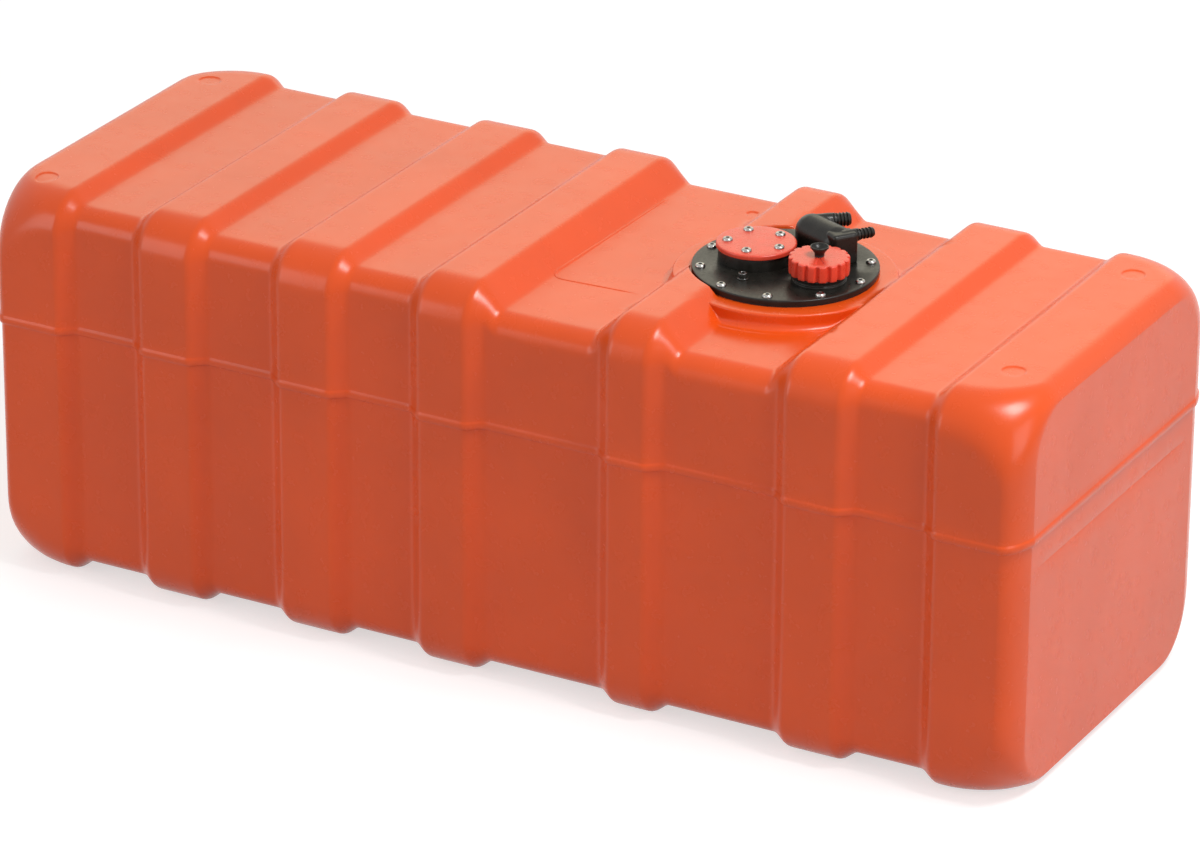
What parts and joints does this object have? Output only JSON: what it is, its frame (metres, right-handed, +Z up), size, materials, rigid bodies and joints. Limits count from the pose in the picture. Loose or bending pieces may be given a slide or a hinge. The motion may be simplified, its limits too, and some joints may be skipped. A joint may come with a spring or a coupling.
{
  "type": "marine fuel tank",
  "caption": "Long moulded fuel tank with strap bands and recesses, a bolted flange plate, screw cap with vent, sender port cover and hose fitting.",
  "frame": {"origin": "under the middle of the tank, on the surface it stands on", "axes": "+X along the tank towards the end with the flange plate, +Y to the back, +Z up"},
  "size_m": [1.103, 0.423, 0.4325],
  "materials": {
    "tank_plastic": "satin moulded polyethylene",
    "black_plastic": "satin moulded",
    "red_plastic": "glossy moulded",
    "rubber": "matte",
    "brass": "turned",
    "stainless_steel": "bright",
    "black_steel": "black coated"
  },
  "bodies": {
    "root": {"tank_shell": "tank_plastic", "flange_plate": "black_plastic", "pickup_body": "black_plastic", "feed_barb": "black_plastic", "return_barb": "black_plastic", "lock_nut": "black_plastic", "pickup_tube": "black_plastic", "pickup_strainer": "black_plastic", "return_tube": "black_plastic", "sender_cover": "red_plastic", "flange_gasket": "rubber", "sender_gasket": "rubber", "pickup_seal": "rubber", "return_seal": "rubber", "feed_barb_seal": "rubber", "return_barb_seal": "rubber", "flange_inserts": "brass", "sender_inserts": "brass", "valve_seat": "brass", "flange_screws": "stainless_steel", "sender_screws": "stainless_steel", "valve_spring": "stainless_steel", "bonding_washer": "stainless_steel", "bonding_nut": "stainless_steel", "bonding_screw": "black_steel"},
    "cap_lift": {"cap_gasket": "rubber"},
    "cap": {"filler_cap": "red_plastic"},
    "vent_lift": {"vent_seal": "rubber"},
    "vent": {"vent_screw": "black_plastic"},
    "valve": {"valve_ball": "stainless_steel"}
  },
  "joints": [
    {"name": "cap_rise", "type": "slide", "parent": "root", "child": "cap_lift", "axis": [0, 0, 1], "range_m": [0, 0.01]},
    {"name": "cap_turn", "type": "hinge", "parent": "cap_lift", "child": "cap", "pos_m": [0.25, -0.018, 0.415], "axis": [0, 0, 1], "range_deg": [0, 900]},
    {"name": "vent_rise", "type": "slide", "parent": "cap", "child": "vent_lift", "axis": [0, 0, 1], "range_m": [0, 0.002]},
    {"name": "vent_turn", "type": "hinge", "parent": "vent_lift", "child": "vent", "pos_m": [0.25, -0.018, 0.415], "axis": [0, 0, 1], "range_deg": [0, 900]},
    {"name": "valve_lift", "type": "slide", "parent": "root", "child": "valve", "axis": [0, 0, 1], "range_m": [0, 0.003], "stiffness_N_per_m": 20, "springref_m": -0.004, "deforming": ["valve_spring"]}
  ],
  "couplings": [
    {"joint": "cap_turn", "follows": "cap_rise", "rad_per_m": 1570.8},
    {"joint": "vent_turn", "follows": "vent_rise", "rad_per_m": 7854}
  ]
}
